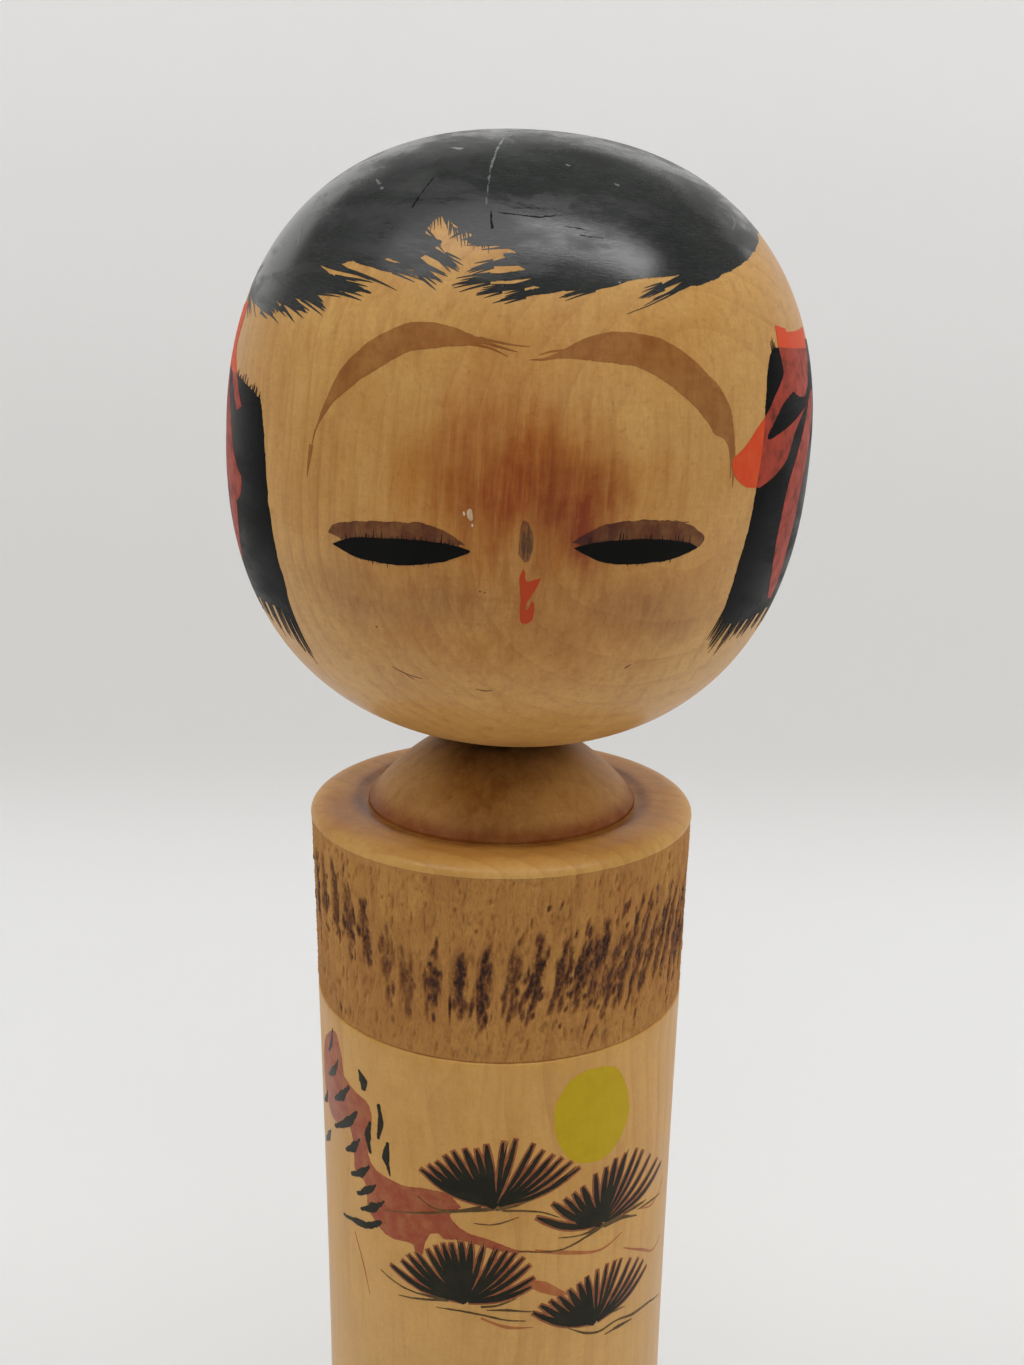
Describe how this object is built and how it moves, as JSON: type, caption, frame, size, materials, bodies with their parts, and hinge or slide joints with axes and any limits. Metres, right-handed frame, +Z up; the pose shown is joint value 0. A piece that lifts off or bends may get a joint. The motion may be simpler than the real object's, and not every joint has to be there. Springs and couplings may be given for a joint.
{
  "type": "kokeshi doll",
  "caption": "Turned wooden doll: a slim standing column with a domed neck collar and a large painted round head that turns on a hidden tenon.",
  "frame": {"origin": "centre of the flat base, on the surface it stands on", "axes": "+Z up along the column, the face looks along -Y, the head leans slightly towards +X"},
  "size_m": [0.085, 0.0848, 0.303],
  "materials": {
    "body_wood": "aged wax over bare turned wood",
    "collar_wood": "aged wax over bare turned wood",
    "tenon_wood": "bare turned wood",
    "head_wood": "polished wax over bare turned wood",
    "hair_paint": "waxed black ink brushed on wood",
    "face_paint": "black ink brushed on wood",
    "brow_paint": "thin brown wash on wood",
    "red_paint": "translucent red dye on wood",
    "sun_paint": "translucent yellow dye on wood",
    "pine_paint": "green-black ink brushed on wood",
    "bark_paint": "translucent brown wash on wood"
  },
  "bodies": {
    "body": {"body": "body_wood", "neck_collar": "collar_wood"},
    "head": {"head": "head_wood", "neck_tenon": "tenon_wood"}
  },
  "joints": [
    {"name": "head_turn", "type": "hinge", "parent": "body", "child": "head", "pos_m": [0, 0, 0.225], "axis": [0.0523, 0, 0.9986], "continuous": true}
  ]
}
